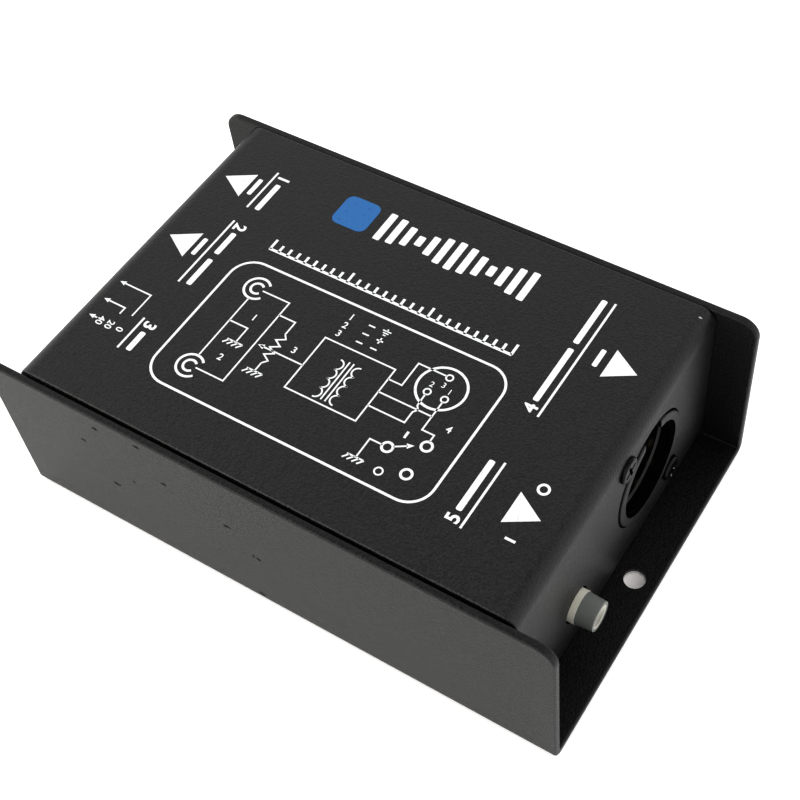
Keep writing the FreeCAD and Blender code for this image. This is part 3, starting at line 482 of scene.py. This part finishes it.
class Ink:
    """Raised ink on a flat face: filled outlines and strokes as thin closed slabs, and flat numerals."""

    def __init__(self, z):
        self.z = z
        self.verts = []
        self.faces = []

    def slab(self, outline):
        """A filled convex outline, given counter-clockwise."""
        n = len(outline)
        first = len(self.verts)
        self.verts += [(x, y, self.z) for x, y in outline]
        self.verts += [(x, y, self.z + PRINT_H) for x, y in outline]
        self.faces.append([first + i for i in reversed(range(n))])
        self.faces.append([first + n + i for i in range(n)])
        for i in range(n):
            j = (i + 1) % n
            self.faces.append([first + i, first + j, first + n + j, first + n + i])

    def stroke(self, points, width, closed=False):
        """A line of that width through the points, mitred where it turns."""
        n = len(points)
        left = []
        right = []
        for i, here in enumerate(points):
            before = points[i - 1] if closed or i else None
            after = points[(i + 1) % n] if closed or i < n - 1 else None
            offset = mitre(before, here, after, width / 2)
            left.append((here[0] + offset[0], here[1] + offset[1]))
            right.append((here[0] - offset[0], here[1] - offset[1]))
        first = len(self.verts)
        for z in (self.z, self.z + PRINT_H):
            self.verts += [(x, y, z) for x, y in left] + [(x, y, z) for x, y in right]
        spans = n if closed else n - 1
        for i in range(spans):
            j = (i + 1) % n
            low = [first + k for k in (i, j, n + j, n + i)]
            high = [k + 2 * n for k in low]
            self.faces.append(low)
            self.faces.append(high[::-1])
            self.faces.append([low[1], low[0], high[0], high[1]])
            self.faces.append([low[3], low[2], high[2], high[3]])
        if not closed:
            for i, flip in ((0, 1), (n - 1, -1)):
                end = [first + k for k in (i, n + i, 3 * n + i, 2 * n + i)]
                self.faces.append(end[::flip])

    def thin_lines(self, *runs):
        for run in runs:
            self.stroke(run, THIN_W)

    def ring(self, cx, cy, r, width):
        self.stroke(arc(cx, cy, r, 0, 360, RING_STEPS)[:-1], width, closed=True)

    def bar(self, x0, y0, x1, y1, r):
        """A filled rectangle with rounded corners."""
        self.slab(rounded_outline(x0, y0, x1, y1, r, BAR_STEPS))

    def text(self, body, x, y, height, turn=0, bold=0.02):
        """Numerals centred on a point, height millimetres tall, turned by so many degrees."""
        curve = bpy.data.curves.new("numeral", "FONT")
        curve.body = body
        curve.align_x = "CENTER"
        curve.offset = bold
        holder = bpy.data.objects.new("numeral", curve)
        bpy.context.scene.collection.objects.link(holder)
        bpy.context.view_layer.update()
        flat = bpy.data.meshes.new_from_object(holder)
        ys = [v.co.y for v in flat.vertices]
        size = height / (max(ys) - min(ys))
        middle = (max(ys) + min(ys)) / 2
        spin = Matrix.Rotation(math.radians(turn), 2)
        first = len(self.verts)
        for v in flat.vertices:
            p = spin @ Vector((v.co.x * size, (v.co.y - middle) * size))
            self.verts.append((x + p.x, y + p.y, self.z + PRINT_H))
        self.faces += [[first + k for k in face.vertices] for face in flat.polygons]
        bpy.data.objects.remove(holder)
        bpy.data.meshes.remove(flat)

    def piece(self, name, slot):
        return new_piece(name, self.verts, self.faces, slot)


def mitre(before, here, after, half):
    """The way from a point to the edge of a line through it, on its left, kept short at sharp turns."""
    sharpest = 0.3
    ways = []
    if before is not None:
        ways.append(Vector((here[0] - before[0], here[1] - before[1])).normalized())
    if after is not None:
        ways.append(Vector((after[0] - here[0], after[1] - here[1])).normalized())
    middle = sum(ways, Vector((0, 0))).normalized()
    normal = Vector((-middle.y, middle.x))
    across = Vector((-ways[0].y, ways[0].x))
    return normal * (half / max(normal.dot(across), sharpest))


# ---------------------------------------------------------------- lid print

LID_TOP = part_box("lid_panel")[1].z / MM
READ_UP = 90
READ_DOWN = -90

# A label's numeral and bars: distance from the rule, height of the numeral, half width and corner of a bar
LABEL_GAP = 2.1
LABEL_DIGIT = 2.7
LABEL_BAR_HALF = 0.6
LABEL_BAR_R = 0.35
DRAWING_DIGIT = 1.5
PIN_DIGIT = 1.2


def label(ink, number, x_rule, y0, y1, side, words):
    """A rule with a numeral and plain bars beside it, where a label's words would stand.
    side is -1 if the label is on the rule's -X side and reads up, 1 if it reads down."""
    ink.stroke([(x_rule, y0), (x_rule, y1)], RULE_W)
    x = x_rule + side * LABEL_GAP
    turn = READ_DOWN if side > 0 else READ_UP
    start, way = (y1, -1) if side > 0 else (y0, 1)
    ink.text(number, x, start + way * 1.1, LABEL_DIGIT, turn, bold=0.03)
    for first, last in words:
        a, b = sorted((start + way * first, start + way * last))
        ink.bar(x - LABEL_BAR_HALF, a, x + LABEL_BAR_HALF, b, LABEL_BAR_R)


def triangle(ink, x_base, x_tip, y_low, y_high):
    middle = (y_low + y_high) / 2
    outline = [(x_base, y_low), (x_tip, middle), (x_base, y_high)]
    if x_tip < x_base:
        outline.reverse()
    ink.slab(outline)


def ground_symbol(ink, x, y):
    """A chassis ground: a short line with slanting strokes below it."""
    ink.stroke([(x - 1.7, y), (x + 1.7, y)], THIN_W)
    for step in range(4):
        foot = x - 1.6 + step * 1.0
        ink.stroke([(foot - 0.5, y - 1.1), (foot + 0.4, y)], THIN_W)


def zigzag(ink, x, y_top, y_low, half_w, turns):
    """A resistor's zigzag, downwards."""
    step = (y_top - y_low) / (turns + 1)
    points = [(x, y_top)]
    for i in range(turns):
        points.append((x + (half_w if i % 2 == 0 else -half_w), y_top - (i + 1) * step))
    points.append((x, y_low))
    ink.stroke(points, THIN_W)


def jack_symbol(ink, x, y):
    """Two rings open to the right, one round the other."""
    for r in (1.25, 2.55):
        ink.stroke(arc(x, y, r, 40, 320, 28), LINE_W)


def arrow_head(ink, x, y, way, size=0.9):
    """A filled arrow head with its tip at a point and its way a unit vector."""
    tip = Vector((x, y))
    back = tip - Vector(way) * size * 1.5
    side = Vector((-way[1], way[0])) * size * 0.62
    ink.slab([tuple(tip), tuple(back + side), tuple(back - side)])


def circuit_drawing(ink):
    """The wiring drawing in its rounded frame, in generic symbols and numerals."""
    ink.stroke(rounded_outline(-32.3, -26.0, 27.7, 6.1, 4.8, CORNER_STEPS), LINE_W, closed=True)
    jack_symbol(ink, -25.3, 0.5)
    jack_symbol(ink, -25.3, -20.3)
    ink.thin_lines(
        [(-25.3, -2.2), (-25.3, -17.6)],
        [(-24.0, 0.5), (-17.8, 0.5), (-17.8, -20.2), (-24.0, -20.2)],
        [(-25.3, -8.2), (-21.1, -8.2), (-21.1, -11.9)],
        [(-17.8, -2.8), (-14.1, -2.8), (-14.1, -6.0)],
        [(-14.1, -13.5), (-14.1, -15.6)],
        [(-7.2, -10.3), (-16.6, -10.3)],
    )
    zigzag(ink, -14.1, -6.0, -13.5, 0.8, 7)
    ground_symbol(ink, -21.3, -11.9)
    ground_symbol(ink, -14.1, -15.6)
    arrow_head(ink, -17.2, -10.3, (-1, 0))
    transformer_box(ink)
    socket_symbol(ink)
    switch_symbol(ink)
    for number, x, y in (("1", -21.5, -5.5), ("2", -21.5, -16.0), ("3", -10.5, -8.2), ("4", 23.4, -9.5)):
        ink.text(number, x, y, DRAWING_DIGIT)


def transformer_box(ink):
    """A boxed transformer symbol: two rows of half turns and the core between them."""
    turn_r = 1.15
    ink.stroke([(-7.2, -15.9), (8.1, -15.9), (8.1, -3.0), (-7.2, -3.0)], THIN_W, closed=True)
    for side in (-1, 1):
        x = 0.45 + side * 2.2
        a0, a1 = (90, -90) if side < 0 else (90, 270)
        for turn in range(4):
            ink.stroke(arc(x, -5.9 - turn_r - turn * 2 * turn_r, turn_r, a0, a1, 12), THIN_W)
    for x in (0.0, 0.9):
        ink.stroke([(x, -5.6), (x, -15.0)], THIN_W)


def socket_symbol(ink):
    """A three-pin socket with its numerals and its wires to the transformer."""
    ink.ring(17.6, -2.6, 4.7, LINE_W)
    for x, y in ((17.6, 0.1), (15.7, -4.4), (19.3, -4.4)):
        ink.ring(x, y, 0.65, THIN_W)
    ink.thin_lines(
        [(8.1, -5.4), (11.0, -5.4), (11.0, 0.2), (16.9, 0.2)],
        [(8.1, -8.6), (19.3, -8.6)],
        [(8.1, -12.0), (15.8, -12.0), (15.8, -9.4), (16.4, -8.6), (15.8, -7.8), (15.7, -5.1)],
        [(19.3, -5.1), (19.3, -11.8), (21.8, -11.8), (21.8, -13.3)],
    )
    for number, x, y in (("3", 17.6, -1.8), ("2", 15.6, -2.6), ("1", 19.3, -2.6)):
        ink.text(number, x, y, PIN_DIGIT, bold=0.01)


def switch_symbol(ink):
    """A two-way switch between the socket's earth and the case, marked with a circle and a bar."""
    for x, y in ((21.9, -14.4), (21.9, -20.9), (16.0, -17.8)):
        ink.ring(x, y, 1.0, LINE_W)
    ink.stroke([(16.9, -17.2), (19.0, -15.9)], THIN_W)
    arrow_head(ink, 20.0, -15.3, Vector((1.0, 0.6)).normalized()[:])
    ink.stroke([(15.0, -17.8), (12.4, -17.8), (12.4, -22.2)], THIN_W)
    ground_symbol(ink, 12.3, -22.2)
    ink.stroke([(17.5, -13.3), (17.5, -14.8)], LINE_W)
    ink.ring(17.4, -22.7, 0.75, THIN_W)


def pin_legend(ink):
    """Three rows: a pin's numeral, a dash and a sign."""
    for row, number in enumerate("123"):
        y = 3.3 - row * 2.15
        ink.text(number, -5.6, y, DRAWING_DIGIT)
        ink.stroke([(-1.8, y), (-0.4, y)], THIN_W)
        if row == 0:
            for k, half in enumerate((0.9, 0.6, 0.3)):
                ink.stroke([(2.0 - half, y + 0.3 - k * 0.5), (2.0 + half, y + 0.3 - k * 0.5)], SIGN_W)
            ink.stroke([(2.0, y + 0.3), (2.0, y + 0.85)], SIGN_W)
        else:
            ink.stroke([(1.3, y), (2.7, y)], THIN_W)
            if row == 1:
                ink.stroke([(2.0, y - 0.7), (2.0, y + 0.7)], THIN_W)


def attenuator_marks(ink):
    """Three bent arrows to the slide switch's stops, and the loss at each."""
    for y, x_bend, y_end in ((-10.6, -42.1, -16.3), (-15.4, -44.5, -17.0)):
        ink.stroke([(-48.4, y), (x_bend, y), (x_bend, y_end)], THIN_W)
        arrow_head(ink, -49.6, y, (-1, 0), 0.85)
    ink.stroke([(-48.4, -19.8), (-47.7, -19.8)], THIN_W)
    arrow_head(ink, -49.6, -19.8, (-1, 0), 0.85)
    for number, x in (("0", -42.1), ("20", -44.5), ("40", -46.7)):
        ink.text(number, x, -20.0, DRAWING_DIGIT, READ_DOWN)


# The row of bars and the rule's ticks
HEAD_BARS = 13
HEAD_PITCH = 2.65
HEAD_HALF = 3.7
TICKS = 28
TICK_PITCH = 1.985


def head_marks(white, blue):
    """Plain marks in the place of the maker's print: a blue block, a row of bars and a graduated rule."""
    blue.bar(-23.4, 21.6, -15.6, 29.4, 1.6)
    for step in range(HEAD_BARS):
        x = -12.6 + step * HEAD_PITCH
        half = HEAD_HALF * (0.35 + 0.65 * abs(math.cos(step * math.pi / 6)))
        white.bar(x - 0.75, 25.3 - half, x + 0.75, 25.3 + half, 0.3)
    white.stroke([(-29.3, 9.9), (24.6, 9.9)], 0.6)
    for step in range(TICKS):
        x = -29.1 + step * TICK_PITCH
        top = 12.5 if step % 9 == 0 else 11.7
        white.stroke([(x, 9.9), (x, top)], 0.55)


def word_mark(ink, x, y, length):
    """A small plain bar along Y where a rating's words would stand."""
    ink.bar(x - 0.5, y - length / 2, x + 0.5, y + length / 2, 0.3)


def lid_print():
    white = Ink(LID_TOP)
    blue = Ink(LID_TOP)
    head_marks(white, blue)
    label(white, "1", -39.7, 16.7, 27.4, 1, [(2.8, 10.4)])
    label(white, "2", -39.7, -5.3, 12.6, 1, [(2.8, 8.8), (10.4, 17.6)])
    label(white, "3", -39.7, -23.5, -15.5, 1, [(2.8, 7.6)])
    label(white, "4", 35.4, 0.3, 29.3, -1, [(2.8, 16.0), (17.4, 28.8)])
    label(white, "5", 35.4, -25.5, -10.7, -1, [(2.8, 14.2)])
    for low, high in ((18.3, 25.0), (0.1, 6.9)):
        triangle(white, -43.0, -48.7, low, high)
        word_mark(white, -41.6, (low + high) / 2 + 0.3, 4.6)
    for low, high in ((13.2, 20.0), (-21.2, -14.4)):
        triangle(white, 40.6, 46.3, low, high)
    word_mark(white, 38.6, 16.8, 4.2)
    white.ring(43.7, -12.2, 0.95, LINE_W)
    white.stroke([(42.7, -23.4), (44.7, -23.4)], LINE_W)
    attenuator_marks(white)
    circuit_drawing(white)
    pin_legend(white)
    white.piece("lid_print_white", "print_white")
    blue.piece("lid_print_blue", "print_blue")


# ---------------------------------------------------------------- jack threads

THREAD_PITCH = 0.75
THREAD_ROOT = 4.77
THREAD_CREST = 5.0
THREAD_SKIN = 0.06
THREAD_START = 0.15
THREAD_SIDES = 64
THREAD_STEPS = 10


def thread(name, node):
    """A helical thread round the nose of a jack, from its open end to the wall, over a thin skin."""
    low, high = (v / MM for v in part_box(node))
    nut_low, nut_high = (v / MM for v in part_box(node.replace("_body", "_nut")))
    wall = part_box("lid_panel")[0].x / MM
    y = (low.y + high.y) / 2
    z = (nut_low.z + nut_high.z) / 2
    x0 = low.x + THREAD_START
    step = THREAD_PITCH / THREAD_STEPS
    rows = int((wall - x0) / step)
    n = THREAD_SIDES
    turns = [k / n for k in range(n)]

    def around(x, turn, r):
        a = turn * 2 * math.pi
        return (x, y + r * math.cos(a), z + r * math.sin(a))

    verts = []
    for row in range(rows + 1):
        fade = min(1.0, row / THREAD_STEPS, (rows - row) / THREAD_STEPS)
        for turn in turns:
            phase = (row / THREAD_STEPS + turn) % 1.0
            ridge = max(0.0, 1.0 - abs(phase - 0.5) * 2.4)
            height = (THREAD_CREST - THREAD_ROOT) * min(ridge * 1.25, 1.0) * fade
            verts.append(around(x0 + row * step, turn, THREAD_ROOT + height))
    for x in (x0, x0 + rows * step):
        verts += [around(x, turn, THREAD_ROOT - THREAD_SKIN) for turn in turns]
    faces = []
    near = (rows + 1) * n
    far = near + n
    for k in range(n):
        j = (k + 1) % n
        for row in range(rows):
            faces.append([row * n + k, (row + 1) * n + k, (row + 1) * n + j, row * n + j])
        faces.append([k, j, near + j, near + k])
        faces.append([rows * n + j, rows * n + k, far + k, far + j])
        faces.append([near + k, near + j, far + j, far + k])
    new_piece(name, verts, faces, "black_plastic", smooth=True)


# ---------------------------------------------------------------- return spring

SPRING_WIRE_R = 0.2
SPRING_TURNS = 6
SPRING_STEPS = 28
WIRE_SIDES = 10


def return_spring():
    """The coil behind the button's plunger."""
    node = "ground_switch_spring"
    low, high = (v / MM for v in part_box(node))
    middle = (low + high) / 2
    coil_r = (high.y - low.y) / 2 - SPRING_WIRE_R
    x0 = low.x + SPRING_WIRE_R
    length = high.x - low.x - 2 * SPRING_WIRE_R
    rows = SPRING_TURNS * SPRING_STEPS
    slope = math.atan2(length / SPRING_TURNS, 2 * math.pi * coil_r)
    verts = []
    for row in range(rows + 1):
        turn = 2 * math.pi * row / SPRING_STEPS
        out = Vector((0, math.cos(turn), math.sin(turn)))
        back = Vector((0, math.sin(turn), -math.cos(turn)))
        across = Vector((math.cos(slope), 0, 0)) + back * math.sin(slope)
        centre = Vector((x0 + length * row / rows, middle.y, middle.z)) + out * coil_r
        for k in range(WIRE_SIDES):
            side = 2 * math.pi * k / WIRE_SIDES
            verts.append(centre + (out * math.cos(side) + across * math.sin(side)) * SPRING_WIRE_R)
    faces = [[i + k for k in range(WIRE_SIDES)] for i in (0, rows * WIRE_SIDES)]
    faces[0].reverse()
    for row in range(rows):
        for k in range(WIRE_SIDES):
            j = (k + 1) % WIRE_SIDES
            near = row * WIRE_SIDES
            far = near + WIRE_SIDES
            faces.append([near + k, near + j, far + j, far + k])
    spring = new_piece("return_spring", verts, faces, "spring_metal", smooth=True)
    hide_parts(node)
    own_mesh(spring)


# ---------------------------------------------------------------- carried-over nodes

RESISTOR_BANDS = {
    "resistor_1": ((0.30, 0.10, 0.02), (0.01, 0.01, 0.01), (0.60, 0.12, 0.01), (0.45, 0.30, 0.06)),
    "resistor_2": ((0.45, 0.02, 0.01), (0.45, 0.02, 0.01), (0.60, 0.12, 0.01), (0.45, 0.30, 0.06)),
    "resistor_3": ((0.60, 0.38, 0.02), (0.20, 0.02, 0.30), (0.45, 0.02, 0.01), (0.45, 0.30, 0.06)),
    "resistor_4": ((0.30, 0.10, 0.02), (0.02, 0.20, 0.05), (0.60, 0.38, 0.02), (0.45, 0.30, 0.06)),
}


def finish_nodes():
    """Each CAD node takes its slot's material, but the shell has its own coat and the resistors bands."""
    for name, obj in nodes.items():
        slot = obj.data.materials[0].name.split(".")[0]
        if name in RESISTOR_BANDS:
            low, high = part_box(name)
            middle = (low.x + high.x) / 2 / MM
            coat = banded(name + "_coat", (0.10, 0.24, 0.36), RESISTOR_BANDS[name], middle, 1.25, 0.6)
            put_material(obj, coat)
        elif name == "outer_shell":
            paint(obj, "shell_coat")
        else:
            paint(obj, slot)


# ---------------------------------------------------------------- stage

FLOOR_SIZE = 4.0
FLOOR_DROP = 0.0001
FLOOR_GLOW = 0.32
FLOOR_GLOW_TINT = (1.0, 1.0, 1.0)
# Painted shadow: the floor's glow tint under the case, and the width of its soft edge
UNDER_GLOW_TINT = (0.35, 0.33, 0.32)
UNDER_EDGE = 1.0


def studio_floor():
    """A white paper floor that glows a little, with a painted shadow under the case, where it glows less.
    """
    half = FLOOR_SIZE / 2
    z = cad_bounds[0][2] - FLOOR_DROP
    corners = [(x * half, y * half, z) for x, y in ((-1, -1), (1, -1), (1, 1), (-1, 1))]
    mesh = bpy.data.meshes.new("floor")
    mesh.from_pydata(corners, [], [(0, 1, 2, 3)])
    floor = bpy.data.objects.new("floor", mesh)
    bpy.context.scene.collection.objects.link(floor)
    s = Shader("floor_paper", 0.9, specular=0.1)
    # painted shadow: the glow is dimmed inside the case's footprint
    under = s.math("MULTIPLY", *[
        s.span(s.math("ABSOLUTE", s.axis(name), 0.0), half_mm - UNDER_EDGE, half_mm, 1.0, 0.0)
        for name, half_mm in (("X", cad_bounds[1][0] / MM), ("Y", cad_bounds[1][1] / MM))
    ])
    s.link(s.mix(under, FLOOR_GLOW_TINT, UNDER_GLOW_TINT), s.bsdf.inputs["Emission Color"])
    s.bsdf.inputs["Emission Strength"].default_value = FLOOR_GLOW
    s.colour(s.ramp(s.noise(0.02, 2.0), (0.3, (0.885, 0.885, 0.875)), (0.7, (0.905, 0.905, 0.895))))
    mesh.materials.append(s.mat)


# One softbox, turned to the origin: place, size, power and tint
LAMP_PLACE = Vector((-0.75, -0.75, 0.5))
LAMP_SIZE = (1.5, 1.1)
LAMP_POWER = 6.0
LAMP_TINT = (1.0, 0.98, 0.93)


def softbox():
    data = bpy.data.lights.new("left_fill", "AREA")
    data.shape = "RECTANGLE"
    data.size, data.size_y = LAMP_SIZE
    data.energy = LAMP_POWER
    data.color = LAMP_TINT
    lamp = bpy.data.objects.new("left_fill", data)
    lamp.location = LAMP_PLACE
    lamp.rotation_euler = (-LAMP_PLACE).to_track_quat("-Z", "Y").to_euler()
    bpy.context.scene.collection.objects.link(lamp)


# The sky's strength low down and overhead, and where it changes, as the height of a unit vector
SKY_HORIZON = 0.95
SKY_ZENITH = 0.40
SKY_BAND = (0.71, 0.88)


def sky():
    """A plain studio: bright near the floor, dimmer overhead."""
    world = bpy.data.worlds.new("studio")
    world.use_nodes = True
    tree = world.node_tree
    coords = tree.nodes.new("ShaderNodeTexCoord")
    split = tree.nodes.new("ShaderNodeSeparateXYZ")
    rise = tree.nodes.new("ShaderNodeMapRange")
    for socket, number in zip(list(rise.inputs)[1:5], (*SKY_BAND, SKY_HORIZON, SKY_ZENITH)):
        socket.default_value = number
    tree.nodes["Background"].inputs["Color"].default_value = (1, 1, 1, 1)
    tree.links.new(coords.outputs["Generated"], split.inputs[0])
    tree.links.new(split.outputs["Z"], rise.inputs["Value"])
    tree.links.new(rise.outputs["Result"], tree.nodes["Background"].inputs["Strength"])
    bpy.context.scene.world = world


def camera():
    data = bpy.data.cameras.new("camera")
    data.lens = CAMERA_LENS
    data.shift_x, data.shift_y = CAMERA_SHIFT
    data.clip_start = CAMERA_CLIP
    back = CAMERA_RIGHT.cross(CAMERA_UP)
    pose = Matrix((CAMERA_RIGHT, CAMERA_UP, back)).transposed().to_4x4()
    pose.translation = CAMERA_PLACE
    holder = bpy.data.objects.new("camera", data)
    holder.matrix_world = pose
    bpy.context.scene.collection.objects.link(holder)
    bpy.context.scene.camera = holder


camera()
sky()
softbox()
studio_floor()
finish_nodes()
lid_print()
for jack in ("input_jack", "link_jack"):
    thread(jack + "_thread", jack + "_body")
return_spring()

bpy.context.scene.view_settings.view_transform = "Standard"
bpy.context.scene.view_settings.look = "High Contrast"
